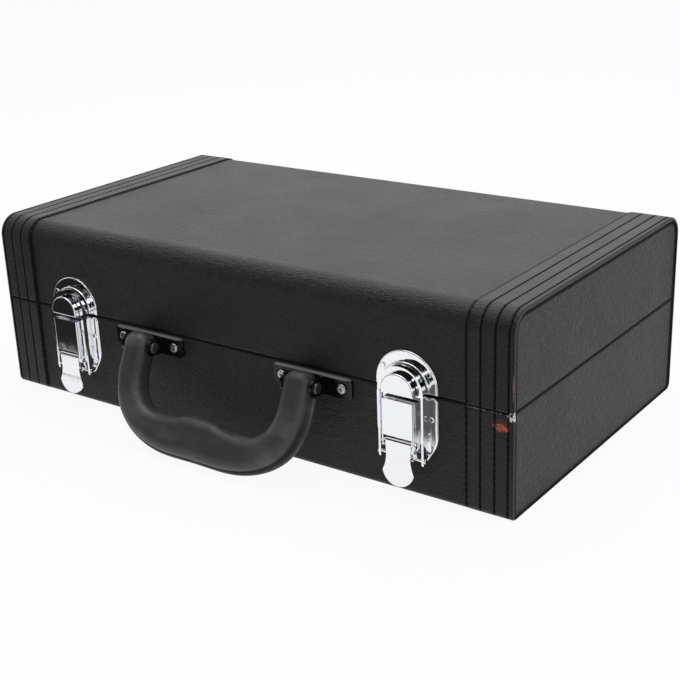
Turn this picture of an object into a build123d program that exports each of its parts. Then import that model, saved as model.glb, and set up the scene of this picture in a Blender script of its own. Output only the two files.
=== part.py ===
"""Clarinet case: plywood box and lid in grained covers, drop handle, two draw latches, stop hinges.

Millimetres, +Z up, -Y towards the latches. The origin is the middle of the case's underside.
"""

from build123d import *
import math
import os

os.makedirs("parts", exist_ok=True)


# ---------------------------------------------------------------- driving sizes: the box
case_width = 350.0
case_depth = 195.0
seam_height = 57.1
lid_height = 50.3
seam_gap = 0.4
wall = 5.0
board = 4.0  # floor and lid board
cover = 1.0  # grained covering cloth
band_width = 25.0
band_proud = 0.8
groove_places = (7.2, 15.0, 22.3)  # from the band's inner edge to the middle of each pressed groove
groove_width = 0.8
groove_depth = 0.6
panel = 1.5  # end panels
panel_recess = 0.8
base_edge_radius = 4.5
lid_edge_radius = 12.0
band_end_round = 1.2
fit = 0.3  # clearance between pieces that are dropped in place

# ---------------------------------------------------------------- driving sizes: the lining
tongue_rise = 4.0  # the rim strip stands this far above the seam
tongue_thick = 2.5
tongue_step = 0.6
tongue_depth = 11.0
insert_top = 45.0
lining = 1.5
pad_thick = 12.0
pad_margin = 9.0
pad_pull = 2.5  # how far the pad's sides draw in between its corners
pad_corner = 14.0

# the instrument's own joints, which set the pockets
pocket_edge = 5.0
pocket_wall = 6.0
pocket_drop = 2.5  # a joint's axis lies this far under the top of the insert
lower_joint_length = 258.0
lower_joint_radius = 22.0
barrel_length = 63.0
barrel_radius = 18.0
upper_joint_length = 231.0
upper_joint_radius = 21.0
mouthpiece_length = 95.0
mouthpiece_radius = 19.0
bell_length = 112.0
bell_neck_radius = 24.0
bell_rim_radius = 39.0
bell_rim_length = 36.0
pocket_floor = 2.0  # what the insert keeps under its deepest pocket
accessory_depth = 30.0
pocket_corner = 8.0

# ---------------------------------------------------------------- driving sizes: the hinges
hinge_inset = 75.0  # from the end of the case to the middle of a hinge
hinge_length = 42.0
hinge_leaf_height = 20.0
hinge_leaf = 1.2
hinge_pin_radius = 1.2
hinge_knuckle_radius = 2.6
hinge_knuckle_count = 5
hinge_running = 0.05
hinge_rivet_spread = 13.0
hinge_rivet_drop = 12.0
hinge_rivet_head = 2.2
hinge_rivet_radius = 1.2
hinge_rivet_rise = 1.0
lid_open_angle = 105.0
stop_reach = 9.5
stop_start = 6.0
stop_thick = 2.0

# ---------------------------------------------------------------- driving sizes: the latches
latch_share = 0.493  # of the way from the handle's bracket to the band lies the middle of a latch
latch_half_width = 18.0
latch_sheet = 1.6
latch_round = 0.7
latch_top_gap = 0.4  # from the seam to the base plate's edge
latch_taper_height = 31.5
latch_taper_round = 16.0
latch_foot_height = 20.8
latch_foot_half_width = 11.0
strike_gap = 0.7  # from the seam to the strike's lower edge
strike_spring_height = 60.5
shoulder_radius = 14.2
shoulder_rise = 1.6
lip_rise = 0.5
lip_half_width = 6.0
lip_thick = 2.0
lip_height = 60.6
housing_half_width = 9.3
housing_sheet = 1.0
housing_front = 10.4
housing_top = 55.0
housing_mouth = 35.5
housing_foot = 28.8
housing_foot_radius = 3.0
lever_axis_out = 8.2
lever_axis_height = 32.1
lever_curl_radius = 1.8
lever_pin_radius = 0.9
lever_sheet = 1.0
lever_half_width = 7.45
lever_waist_half_width = 7.1
lever_waist_height = 25.0
lever_wide_half_width = 9.2
lever_wide_height = 16.2
lever_tip_height = 8.9
lever_tip_lift = 1.2
lever_bend_height = 20.0
lever_arm = 1.2
tab_height = 2.2
tab_depth = 2.0
tab_foot_height = 14.2
tab_inset = 1.2
bail_axis_out = 6.1
bail_axis_height = 24.0
bail_inner_half_width = 12.0
bail_strip = 1.2
bail_back = 4.0
bail_front = 7.4
bail_spring_height = 58.8
bail_toe_height = 21.0
bail_tail_height = 29.0
bail_tail_back = 4.8
bail_pin_radius = 0.8
bail_pin_head = 1.3
pin_running = 0.05
web_thick = 1.4
nose_radius = 9.55
nose_foot_height = 58.0
nose_spring_height = 59.65
nose_back = 8.0
nose_front = 10.6
nose_step = 1.2
latch_rivet_spread = 14.7
latch_rivet_height = 45.0
strike_rivet_spread = 13.4
strike_rivet_height = 68.4
latch_rivet_head = 1.4
latch_rivet_radius = 0.8

# ---------------------------------------------------------------- driving sizes: the handle
bracket_spread = 57.5
bracket_length = 50.5
bracket_height = 11.5
bracket_top = 55.6
bracket_sheet = 1.2
bracket_bead = 0.9
handle_axis_out = 9.6
handle_axis_height = 50.9
handle_thick = 15.6
handle_round = 6.0
handle_end_spread = 56.4  # middle of the case to the middle of the handle's end
handle_end_width = 15.6
handle_end_rise = 7.0
rim_thick = 3.0
rim_back = 1.0  # the rim's middle lies this far behind the handle's
rim_round = 1.2
handle_lean = 25.5  # degrees out from the case, with the grip on what the case stands on
handle_floor_gap = 0.3
# half outlines in the handle's own plane: distance from the middle, and share of the reach below the pins
grip_outline = ((0, 0.966), (30.2, 0.944), (48.8, 0.812), (59.5, 0.597), (63.9, 0.318), (64.2, 0.072))
rim_outline = ((0, 1.000), (30.8, 0.982), (50.2, 0.850), (62.3, 0.626), (67.4, 0.325), (67.2, 0.101))
rim_root = ((56.4, 0.101), (56.4, 0.325), (50, 0.615), (38, 0.759), (0, 0.759))
gap_outline = (
    (48.6, 0.127), (48.3, 0.307), (44.9, 0.468), (37.9, 0.575), (27.3, 0.609), (14, 0.579), (0, 0.550),
)
ear_sheet = 1.4
ear_radius = 4.7
handle_pin_radius = 2.0
handle_pin_head = 3.1
handle_pin_head_thick = 1.5
handle_pin_hollow = 1.5  # the pins are tubular rivets, rolled over at both ends
washer = 0.7
washer_radius = 3.8
washer_gap = 0.15
screw_spread = 19.3
screw_head = 2.7
screw_head_thick = 1.6
screw_radius = 1.6
screw_cross = 0.7
fastener_hole = 0.05
press = 0.02  # between a pin and the sheet it is pressed in

# ---------------------------------------------------------------- sizes that follow
half_width = case_width / 2
band_y = case_depth / 2
skin_y = band_y - band_proud
groove_y = band_y - groove_depth
shell_y = skin_y - cover
inner_y = shell_y - wall
shell_x = half_width - panel_recess - panel
inner_x = shell_x - wall
band_x = half_width - band_width
hinge_spread = half_width - hinge_inset
bracket_end = bracket_spread + bracket_length / 2
latch_spread = bracket_end + latch_share * (band_x - bracket_end)
base_top = seam_height - seam_gap / 2
lid_bottom = seam_height + seam_gap / 2
band_top = seam_height + lid_height
skin_top = band_top - band_proud
shell_top = skin_top - cover
ceiling = shell_top - board
floor_top = cover + board
tongue_top = seam_height + tongue_rise
shell_base_radius = base_edge_radius - band_proud - cover
skin_base_radius = base_edge_radius - band_proud
shell_lid_radius = lid_edge_radius - band_proud - cover
skin_lid_radius = lid_edge_radius - band_proud
bite = wall + cover  # how far a fastener goes in behind the sheet it holds
SIDES = (("left", -1), ("right", 1))

hinge_y = skin_y + hinge_knuckle_radius + fit
hinge_face = skin_y - hinge_y  # the back cover and the leaves' outer faces, seen from the hinge axis
hinge_outer = hinge_face + hinge_leaf
screw_height = bracket_top - bracket_height / 2


def pairs(spread, offset, height):
    """Places either side of the middle of each of two like fittings, as x and z on the case's face."""
    return [(s * spread + t * offset, height) for _, s in SIDES for _, t in SIDES]


hinge_low_places = pairs(hinge_spread, hinge_rivet_spread, seam_height - hinge_rivet_drop)
hinge_high_places = pairs(hinge_spread, hinge_rivet_spread, seam_height + hinge_rivet_drop)
latch_low_places = pairs(latch_spread, latch_rivet_spread, latch_rivet_height)
latch_high_places = pairs(latch_spread, strike_rivet_spread, strike_rivet_height)
screw_places = pairs(bracket_spread, screw_spread, screw_height)
base_places = [
    (latch_low_places, -skin_y, latch_rivet_radius),
    (screw_places, -skin_y, screw_radius),
    (hinge_low_places, skin_y, hinge_rivet_radius),
]
lid_places = [
    (latch_high_places, -skin_y, latch_rivet_radius),
    (hinge_high_places, skin_y, hinge_rivet_radius),
]


def keep(piece, node):
    """Label a finished piece with its node's name and write it."""
    piece.part.label = node
    export_step(piece.part, f"parts/{node}.step")


def base_outline(x, half_depth, low, radius):
    """Section of the base at x: square at the seam, with rounded bottom edges."""
    with BuildSketch(Plane.YZ.offset(x)) as outline:
        with Locations((0, (low + base_top) / 2)):
            Rectangle(2 * half_depth, base_top - low)
        fillet(outline.vertices().group_by(Axis.Y)[0], radius)
    return outline.sketch


def lid_outline(x, half_depth, high, radius):
    """Section of the lid at x: square at the seam, with well rounded top edges."""
    with BuildSketch(Plane.YZ.offset(x)) as outline:
        with Locations((0, (high + lid_bottom) / 2)):
            Rectangle(2 * half_depth, high - lid_bottom)
        fillet(outline.vertices().group_by(Axis.Y)[-1], radius)
    return outline.sketch


def face_holes(places, radius, y, depth):
    """Cut round holes along Y, from the outer face at y towards the middle of the case."""
    inward = -math.copysign(1, y)
    with Locations(*[(x, y + inward * depth / 2, z) for x, z in places]):
        Cylinder(radius, depth, rotation=(90, 0, 0), mode=Mode.SUBTRACT)


def front_plane(x, out=0.0):
    """Front view on the case's front cover: X right, Y up the case, extruding outwards."""
    return Plane(origin=(x, -skin_y - out, 0), x_dir=(1, 0, 0), z_dir=(0, -1, 0))


def side_plane(x):
    """Side view at x: its X is the distance out from the front cover, its Y the height."""
    return Plane(origin=(x, -skin_y, 0), x_dir=(0, -1, 0), z_dir=(-1, 0, 0))


def hinge_plane(x):
    """Side view at x with its origin on the lid hinges' axis: X backwards, Y up."""
    return Plane(origin=(x, hinge_y, seam_height), x_dir=(0, 1, 0), z_dir=(1, 0, 0))


# ================================================================ base: box, cover, bands, end panels
with BuildPart() as base_shell:
    extrude(base_outline(-shell_x, shell_y, cover, shell_base_radius), amount=2 * shell_x)
    with BuildSketch(Plane.XY.offset(floor_top)):
        Rectangle(2 * inner_x, 2 * inner_y)
    extrude(amount=base_top - floor_top, mode=Mode.SUBTRACT)
    for places, y, radius in base_places:
        face_holes(places, radius + fastener_hole, y, bite + cover)
keep(base_shell, "base_shell")

with BuildPart() as base_cover:
    extrude(base_outline(-band_x, skin_y, 0, skin_base_radius), amount=2 * band_x)
    extrude(
        base_outline(-band_x, shell_y, cover, shell_base_radius), amount=2 * band_x, mode=Mode.SUBTRACT
    )
    for places, y, radius in base_places:
        face_holes(places, radius + fastener_hole, y, 2 * cover)
keep(base_cover, "base_cover")

for name, side in SIDES:
    with BuildPart() as base_band:
        extrude(base_outline(side * band_x, band_y, 0, base_edge_radius), amount=side * band_width)
        outer_end = base_band.faces().sort_by(Axis.X)[-1 if side > 0 else 0]
        fillet(outer_end.edges().sort_by(Axis.Z)[:-1], band_end_round)
        inside = base_outline(side * band_x, shell_y, cover, shell_base_radius)
        extrude(inside, amount=side * band_width, mode=Mode.SUBTRACT)
        for place in groove_places:
            start = side * (band_x + place - groove_width / 2)
            whole = base_outline(start, band_y, 0, base_edge_radius)
            core = base_outline(start, groove_y, groove_depth, base_edge_radius - groove_depth)
            extrude(whole - core, amount=side * groove_width, mode=Mode.SUBTRACT)
    keep(base_band, f"base_band_{name}")

    with BuildPart() as base_end:
        extrude(base_outline(side * shell_x, shell_y, cover, shell_base_radius), amount=side * panel)
    keep(base_end, f"base_end_{name}")


# ================================================================ lid: tray, cover, bands, end panels
with BuildPart() as lid_shell:
    extrude(lid_outline(-shell_x, shell_y, shell_top, shell_lid_radius), amount=2 * shell_x)
    room = lid_outline(-inner_x, inner_y, ceiling, shell_lid_radius - board)
    extrude(room, amount=2 * inner_x, mode=Mode.SUBTRACT)
    for places, y, radius in lid_places:
        face_holes(places, radius + fastener_hole, y, bite + cover)
keep(lid_shell, "lid_shell")

with BuildPart() as lid_cover:
    extrude(lid_outline(-band_x, skin_y, skin_top, skin_lid_radius), amount=2 * band_x)
    under = lid_outline(-band_x, shell_y, shell_top, shell_lid_radius)
    extrude(under, amount=2 * band_x, mode=Mode.SUBTRACT)
    for places, y, radius in lid_places:
        face_holes(places, radius + fastener_hole, y, 2 * cover)
keep(lid_cover, "lid_cover")

for name, side in SIDES:
    with BuildPart() as lid_band:
        extrude(lid_outline(side * band_x, band_y, band_top, lid_edge_radius), amount=side * band_width)
        outer_end = lid_band.faces().sort_by(Axis.X)[-1 if side > 0 else 0]
        fillet(outer_end.edges().sort_by(Axis.Z)[1:], band_end_round)
        inside = lid_outline(side * band_x, shell_y, shell_top, shell_lid_radius)
        extrude(inside, amount=side * band_width, mode=Mode.SUBTRACT)
        for place in groove_places:
            start = side * (band_x + place - groove_width / 2)
            whole = lid_outline(start, band_y, band_top, lid_edge_radius)
            core = lid_outline(start, groove_y, band_top - groove_depth, lid_edge_radius - groove_depth)
            extrude(whole - core, amount=side * groove_width, mode=Mode.SUBTRACT)
    keep(lid_band, f"lid_band_{name}")

    with BuildPart() as lid_end:
        extrude(lid_outline(side * shell_x, shell_y, shell_top, shell_lid_radius), amount=side * panel)
    keep(lid_end, f"lid_end_{name}")


# ================================================================ rim strip that locates the lid
with BuildPart() as rim_strip:
    with BuildSketch(Plane.XY.offset(base_top - tongue_depth)):
        Rectangle(2 * inner_x, 2 * inner_y)
    extrude(amount=tongue_depth)
    with BuildSketch(Plane.XY.offset(base_top)):
        Rectangle(2 * (inner_x - tongue_step), 2 * (inner_y - tongue_step))
    extrude(amount=tongue_top - base_top)
    chamfer(rim_strip.faces().sort_by(Axis.Z)[-1].edges(), tongue_step)
    # the strip runs along the front and both ends, and leaves the hinged side free
    with BuildSketch(Plane.XY.offset(base_top - tongue_depth)):
        with Locations((0, tongue_thick + wall)):
            Rectangle(2 * (inner_x - tongue_thick), 2 * (inner_y + wall))
    extrude(amount=tongue_depth + tongue_rise + seam_gap, mode=Mode.SUBTRACT)
keep(rim_strip, "rim_strip")


# ================================================================ moulded insert with its pockets
insert_x = inner_x - fit
insert_y = inner_y - fit
axis_height = insert_top - pocket_drop
left_edge = -insert_x + pocket_edge
right_edge = insert_x - pocket_edge
back_edge = insert_y - pocket_edge
front_row = -insert_y + pocket_edge + lower_joint_radius
middle_row = front_row + lower_joint_radius + pocket_wall + upper_joint_radius
mouthpiece_row = back_edge - mouthpiece_radius
bell_x = right_edge - bell_rim_radius
bell_front = back_edge - bell_length
accessory_left = left_edge + mouthpiece_length + pocket_wall
accessory_right = bell_x - bell_rim_radius - pocket_wall
accessory_front = middle_row + upper_joint_radius + pocket_wall

joint_pockets = [
    (left_edge, lower_joint_length, front_row, lower_joint_radius),
    (right_edge - barrel_length, barrel_length, front_row, barrel_radius),
    (left_edge, upper_joint_length, middle_row, upper_joint_radius),
    (left_edge, mouthpiece_length, mouthpiece_row, mouthpiece_radius),
]

with BuildPart() as base_insert:
    with BuildSketch(Plane.XY.offset(floor_top)):
        Rectangle(2 * insert_x, 2 * insert_y)
    extrude(amount=insert_top - floor_top)
    # round-bottomed channels, open at the top
    for start, length, row, radius in joint_pockets:
        with BuildSketch(Plane.YZ.offset(start)):
            with Locations((row, axis_height)):
                Circle(radius)
            with Locations((row, axis_height + radius)):
                Rectangle(2 * radius, 2 * radius)
        extrude(amount=length, mode=Mode.SUBTRACT)
    # the bell's neck lies in a channel of its own, and its rim in a deep recess at the back
    with BuildSketch(Plane.XZ.offset(-bell_front)):
        with Locations((bell_x, axis_height)):
            Circle(bell_neck_radius)
        with Locations((bell_x, axis_height + bell_neck_radius)):
            Rectangle(2 * bell_neck_radius, 2 * bell_neck_radius)
    extrude(amount=-(bell_length - bell_rim_length / 2), mode=Mode.SUBTRACT)
    with BuildSketch(Plane.XY.offset(insert_top)):
        with Locations((bell_x, back_edge - bell_rim_length / 2)):
            RectangleRounded(2 * bell_rim_radius, bell_rim_length, pocket_corner)
    extrude(amount=-(insert_top - floor_top - pocket_floor), mode=Mode.SUBTRACT)
    with BuildSketch(Plane.XY.offset(insert_top)):
        with Locations(((accessory_left + accessory_right) / 2, (accessory_front + back_edge) / 2)):
            RectangleRounded(accessory_right - accessory_left, back_edge - accessory_front, pocket_corner)
    extrude(amount=-accessory_depth, mode=Mode.SUBTRACT)
keep(base_insert, "base_insert")


# ================================================================ lid lining and pad
lining_bottom = tongue_top + fit
lining_top = ceiling - lining
pad_x = inner_x - lining - pad_margin
pad_y = inner_y - lining - pad_margin
pad_top = lining_top - fit
pad_levels = ((0, 1.5), (0.35, 0), (0.75, 4.0), (0.93, 14.0), (1.0, 34.0))  # depth share, inset

with BuildPart() as lid_lining:
    room = lid_outline(-inner_x, inner_y, ceiling, shell_lid_radius - board)
    extrude(room, amount=2 * inner_x)
    with BuildSketch(Plane.XY):
        Rectangle(case_width, case_depth)
    extrude(amount=lining_bottom, mode=Mode.SUBTRACT)
    with BuildSketch(Plane.XY):
        Rectangle(2 * (inner_x - lining), 2 * (inner_y - lining))
    extrude(amount=lining_top, mode=Mode.SUBTRACT)
keep(lid_lining, "lid_lining")

with BuildPart() as lid_pad:
    for depth, inset in pad_levels:
        half_x, half_y = pad_x - inset, pad_y - inset
        with BuildSketch(Plane.XY.offset(pad_top - depth * pad_thick)) as level:
            with BuildLine():
                ThreePointArc((-half_x, -half_y), (0, -half_y + pad_pull), (half_x, -half_y))
                ThreePointArc((half_x, -half_y), (half_x - pad_pull, 0), (half_x, half_y))
                ThreePointArc((half_x, half_y), (0, half_y - pad_pull), (-half_x, half_y))
                ThreePointArc((-half_x, half_y), (-half_x + pad_pull, 0), (-half_x, -half_y))
            make_face()
            fillet(level.vertices(), pad_corner)
    loft(ruled=True)
keep(lid_pad, "lid_pad")


# ================================================================ stop hinges
knuckle_pitch = hinge_length / hinge_knuckle_count
leaf_clear = hinge_knuckle_radius + 2 * fit  # a leaf's edge stays this far from the axis
rivet_hole = hinge_rivet_radius + fastener_hole


def open_leaf_height(reach):
    """Height of the open lid's leaf over the hinge axis, at a distance behind the axis."""
    turn = math.radians(lid_open_angle)
    along = (reach - hinge_outer * math.cos(turn)) / math.sin(turn)
    return along * math.cos(turn) - hinge_outer * math.sin(turn)

for name, side in SIDES:
    x = side * hinge_spread
    for carrier, up, first in (("base", -1, 0), ("lid", 1, 1)):
        leaf_middle = seam_height + up * (leaf_clear + hinge_leaf_height) / 2
        with BuildPart() as leaf:
            with Locations((x, skin_y + hinge_leaf / 2, leaf_middle)):
                Box(hinge_length, hinge_leaf, hinge_leaf_height - leaf_clear)
            corners = leaf.edges().filter_by(Axis.Y).group_by(Axis.Z)[0 if up < 0 else -1]
            fillet(corners, 2 * hinge_leaf)
            for i in range(first, hinge_knuckle_count, 2):
                with BuildSketch(hinge_plane(x - hinge_length / 2 + i * knuckle_pitch + fit / 2)):
                    Circle(hinge_knuckle_radius)
                    with Locations(((hinge_face + hinge_outer) / 2, up * leaf_clear / 2)):
                        Rectangle(hinge_leaf, leaf_clear)
                extrude(amount=knuckle_pitch - fit)
            if up < 0:
                # a lug pressed out of the base leaf, which the open lid's leaf comes down on
                with BuildSketch(hinge_plane(x - stop_thick / 2)):
                    with BuildLine():
                        Polyline(
                            (hinge_outer, -hinge_rivet_drop),
                            (stop_reach, -stop_start),
                            (stop_reach, open_leaf_height(stop_reach) - fit),
                            (stop_start, open_leaf_height(stop_start) - fit),
                            (stop_start - stop_thick, -hinge_knuckle_radius - fit),
                            (hinge_outer, -stop_start),
                            close=True,
                        )
                    make_face()
                extrude(amount=stop_thick)
            with Locations((x, hinge_y, seam_height)):
                Cylinder(
                    hinge_pin_radius + hinge_running, hinge_length, rotation=(0, 90, 0), mode=Mode.SUBTRACT
                )
            face_holes(hinge_low_places, rivet_hole, skin_y + hinge_leaf, hinge_leaf)
            face_holes(hinge_high_places, rivet_hole, skin_y + hinge_leaf, hinge_leaf)
        keep(leaf, f"hinge_{carrier}_leaf_{name}")

    with BuildPart() as hinge_pin:
        with Locations((x, hinge_y, seam_height)):
            Cylinder(hinge_pin_radius, hinge_length, rotation=(0, 90, 0))
        chamfer(hinge_pin.edges(), hinge_leaf / 4)
    keep(hinge_pin, f"hinge_pin_{name}")


# ================================================================ fasteners
def fasteners(places, face, head_radius, head_thick, shank_radius, grip, cross=0.0):
    """Domed heads seated on the face at y = face, each with its shank going in; a cross if it is a screw."""
    out = math.copysign(1, face)
    with BuildPart() as group:
        with Locations(*[(x, face + out * head_thick / 2, z) for x, z in places]):
            Cylinder(head_radius, head_thick, rotation=(90, 0, 0))
        rims = group.edges().filter_by(GeomType.CIRCLE).group_by(Axis.Y)[-1 if face > 0 else 0]
        fillet(rims, 0.6 * head_thick)
        if cross:
            with Locations(*[(x, face + out * head_thick, z) for x, z in places]):
                Box(head_radius, head_thick, cross, mode=Mode.SUBTRACT)
                Box(cross, head_thick, head_radius, mode=Mode.SUBTRACT)
        with Locations(*[(x, face - out * grip / 2, z) for x, z in places]):
            Cylinder(shank_radius, grip, rotation=(90, 0, 0))
    return group


def pin(x, y, z, radius, length, head_radius=0.0, head_thick=0.0, hollow=0.0):
    """A pin along X through the point, with a round head outside each end of its length."""
    with BuildPart() as shaft:
        with Locations((x, y, z)):
            Cylinder(radius, length, rotation=(0, 90, 0))
        if head_radius:
            with Locations(*[(x + s * (length + head_thick) / 2, y, z) for _, s in SIDES]):
                Cylinder(head_radius, head_thick, rotation=(0, 90, 0))
            rims = shaft.edges().filter_by(GeomType.CIRCLE).group_by(Axis.X)
            fillet(rims[0] + rims[-1], 0.6 * head_thick)
            if hollow:
                with Locations(*[(x + s * (length / 2 + head_thick), y, z) for _, s in SIDES]):
                    Cylinder(hollow, head_thick, rotation=(0, 90, 0), mode=Mode.SUBTRACT)
        else:
            rims = shaft.edges().filter_by(GeomType.CIRCLE)
            chamfer(rims, radius / 4)
    return shaft


def bore(radius, x, y, z, length):
    """Cut a round hole along X, centred on the point."""
    with Locations((x, y, z)):
        Cylinder(radius, length, rotation=(0, 90, 0), mode=Mode.SUBTRACT)


leaf_face = skin_y + hinge_leaf
hinge_grip = hinge_leaf + bite - fit
hinge_rivet = (leaf_face, hinge_rivet_head, hinge_rivet_rise, hinge_rivet_radius, hinge_grip)
keep(fasteners(hinge_low_places, *hinge_rivet), "hinge_base_rivets")
keep(fasteners(hinge_high_places, *hinge_rivet), "hinge_lid_rivets")


# ================================================================ draw latches
# Seen from the side, the lever turns on a pin across the housing's cheeks. Its two arms reach down and back
# to a second pin, which carries the bail. As the lever's tip swings out and up, that pin moves forwards and
# up, and the bail with its nose comes off the lip of the strike on the lid.
lever_y = -skin_y - lever_axis_out
bail_y = -skin_y - bail_axis_out
lever_face = lever_axis_out + lever_curl_radius
plate_top = base_top - latch_top_gap
strike_foot = lid_bottom + strike_gap
bail_outer_half_width = bail_inner_half_width + bail_strip
latch_grip = latch_sheet + bite - fit

for name, side in SIDES:
    x = side * latch_spread

    with BuildPart() as latch_plate:
        with BuildSketch(front_plane(x)):
            with BuildLine():
                Polyline(
                    (-latch_half_width, plate_top),
                    (-latch_half_width, latch_taper_height),
                    (-latch_foot_half_width, latch_foot_height),
                    (latch_foot_half_width, latch_foot_height),
                    (latch_half_width, latch_taper_height),
                    (latch_half_width, plate_top),
                    close=True,
                )
            make_face()
        extrude(amount=latch_sheet)
        corners = latch_plate.edges().filter_by(Axis.Y).group_by(Axis.Z)
        fillet(corners[1], latch_taper_round)
        fillet(corners[0] + corners[2], 2 * latch_sheet)
        fillet(latch_plate.faces().sort_by(Axis.Y)[0].edges(), latch_round)
        # the upper edge is rolled into a bead
        with Locations((x, -skin_y - latch_sheet, plate_top - latch_round)):
            Cylinder(latch_round, 2 * (latch_half_width - 2 * latch_sheet), rotation=(0, 90, 0))
        face_holes(latch_low_places, latch_rivet_radius + fastener_hole, -skin_y - latch_sheet, latch_sheet)
    keep(latch_plate, f"latch_plate_{name}")

    with BuildPart() as housing:
        # a folded box with cheeks that reach down past its front to carry the lever's pin
        with BuildSketch(side_plane(x)) as cheek:
            with Locations(((latch_sheet + housing_front) / 2, (housing_foot + housing_top) / 2)):
                Rectangle(housing_front - latch_sheet, housing_top - housing_foot)
            fillet(cheek.vertices().group_by(Axis.Y)[0].sort_by(Axis.X)[-1], housing_foot_radius)
        extrude(amount=housing_half_width, both=True)
        fillet(housing.faces().sort_by(Axis.Y)[0].edges().filter_by(Axis.Z), latch_round)
        with BuildSketch(front_plane(x, latch_sheet)):
            with Locations((0, (housing_foot + housing_top) / 2 - housing_sheet)):
                Rectangle(2 * (housing_half_width - housing_sheet), housing_top - housing_foot)
        extrude(amount=housing_front - housing_sheet - latch_sheet, mode=Mode.SUBTRACT)
        with BuildSketch(front_plane(x, latch_sheet)):
            with Locations((0, housing_foot)):
                Rectangle(2 * (housing_half_width - housing_sheet), 2 * (housing_mouth - housing_foot))
        extrude(amount=housing_front, mode=Mode.SUBTRACT)
        bore(lever_pin_radius + press, x, lever_y, lever_axis_height, 2 * housing_half_width)
    keep(housing, f"latch_housing_{name}")

    keep(
        pin(
            x, lever_y, lever_axis_height, lever_pin_radius, 2 * housing_half_width,
            lever_curl_radius, latch_round,
        ),
        f"lever_pin_{name}",
    )

    with BuildPart() as lever:
        # the sheet of the tongue, lifted a little at its tip, cut to its outline
        with BuildSketch(side_plane(x)):
            with BuildLine():
                Polyline(
                    (lever_face, lever_axis_height),
                    (lever_face, lever_bend_height),
                    (lever_face + lever_tip_lift, lever_tip_height),
                    (lever_face + lever_tip_lift - lever_sheet, lever_tip_height),
                    (lever_face - lever_sheet, lever_bend_height),
                    (lever_face - lever_sheet, lever_axis_height),
                    close=True,
                )
            make_face()
        extrude(amount=2 * lever_wide_half_width, both=True)
        with BuildSketch(front_plane(x)):
            with BuildLine():
                edge = Line(
                    (lever_half_width, lever_axis_height), (lever_waist_half_width, lever_waist_height)
                )
                flare = Spline(
                    (lever_waist_half_width, lever_waist_height),
                    (lever_wide_half_width, lever_wide_height),
                    tangents=(edge % 1, (0.5, -1)),
                )
                ThreePointArc(flare @ 1, (0, lever_tip_height), (-lever_wide_half_width, lever_wide_height))
                other = Spline(
                    (-lever_wide_half_width, lever_wide_height),
                    (-lever_waist_half_width, lever_waist_height),
                    tangents=((0.5, 1), (-(edge % 1).X, -(edge % 1).Y)),
                )
                Polyline(other @ 1, (-lever_half_width, lever_axis_height), edge @ 0)
            make_face()
        extrude(amount=2 * housing_front, mode=Mode.INTERSECT)
        for _, s in SIDES:
            # a stop folded back from each edge near the widest place
            with BuildSketch(front_plane(x, lever_face - lever_sheet - tab_depth)):
                with Locations((s * (lever_wide_half_width - tab_inset), tab_foot_height + tab_height / 2)):
                    Rectangle(lever_sheet, tab_height)
            extrude(amount=tab_depth + lever_sheet)
            # an arm from the curl down to the bail's pin
            with BuildSketch(side_plane(x + s * (lever_half_width - lever_arm / 2))):
                with Locations((lever_axis_out, lever_axis_height)):
                    Circle(lever_curl_radius)
                with Locations((bail_axis_out, bail_axis_height)):
                    Circle(lever_curl_radius)
                make_hull()
            extrude(amount=lever_arm / 2, both=True)
        with Locations((x, lever_y, lever_axis_height)):
            Cylinder(lever_curl_radius, 2 * lever_half_width, rotation=(0, 90, 0))
        bore(lever_pin_radius + pin_running, x, lever_y, lever_axis_height, 2 * lever_half_width)
        bore(bail_pin_radius + press, x, bail_y, bail_axis_height, 2 * lever_half_width)
    keep(lever, f"latch_lever_{name}")

    keep(
        pin(
            x, bail_y, bail_axis_height, bail_pin_radius, 2 * (bail_outer_half_width + fit / 2),
            bail_pin_head, latch_round,
        ),
        f"bail_pin_{name}",
    )

    with BuildPart() as bail:
        with BuildSketch(front_plane(x, bail_back)):
            with BuildLine():
                Line((-bail_outer_half_width, bail_toe_height), (-bail_outer_half_width, bail_spring_height))
                ThreePointArc(
                    (-bail_outer_half_width, bail_spring_height),
                    (0, bail_spring_height + bail_outer_half_width),
                    (bail_outer_half_width, bail_spring_height),
                )
                Polyline(
                    (bail_outer_half_width, bail_spring_height),
                    (bail_outer_half_width, bail_toe_height),
                    (bail_inner_half_width, bail_toe_height),
                    (bail_inner_half_width, bail_spring_height),
                )
                ThreePointArc(
                    (bail_inner_half_width, bail_spring_height),
                    (0, bail_spring_height + bail_inner_half_width),
                    (-bail_inner_half_width, bail_spring_height),
                )
                Polyline(
                    (-bail_inner_half_width, bail_spring_height),
                    (-bail_inner_half_width, bail_toe_height),
                    (-bail_outer_half_width, bail_toe_height),
                )
            make_face()
        extrude(amount=bail_front - bail_back)
        # the legs end in narrower tails round the pin
        with BuildSketch(side_plane(x)):
            with Locations(((bail_back + bail_tail_back) / 2, (bail_toe_height + bail_tail_height) / 2)):
                Rectangle(bail_tail_back - bail_back, bail_tail_height - bail_toe_height)
        extrude(amount=2 * bail_outer_half_width, both=True, mode=Mode.SUBTRACT)
        fillet(bail.edges().filter_by(Axis.X).group_by(Axis.Z)[0], (bail_front - bail_tail_back) / 2 - press)
        # the web that carries the nose
        with BuildSketch(front_plane(x, bail_front - web_thick)):
            with Locations((0, bail_spring_height)):
                Circle(bail_inner_half_width + press)
            with Locations((0, nose_foot_height - bail_inner_half_width)):
                Rectangle(4 * bail_inner_half_width, 2 * bail_inner_half_width, mode=Mode.SUBTRACT)
        extrude(amount=web_thick)
        bore(bail_pin_radius + pin_running, x, bail_y, bail_axis_height, 2 * bail_outer_half_width)
    keep(bail, f"latch_bail_{name}")

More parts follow.
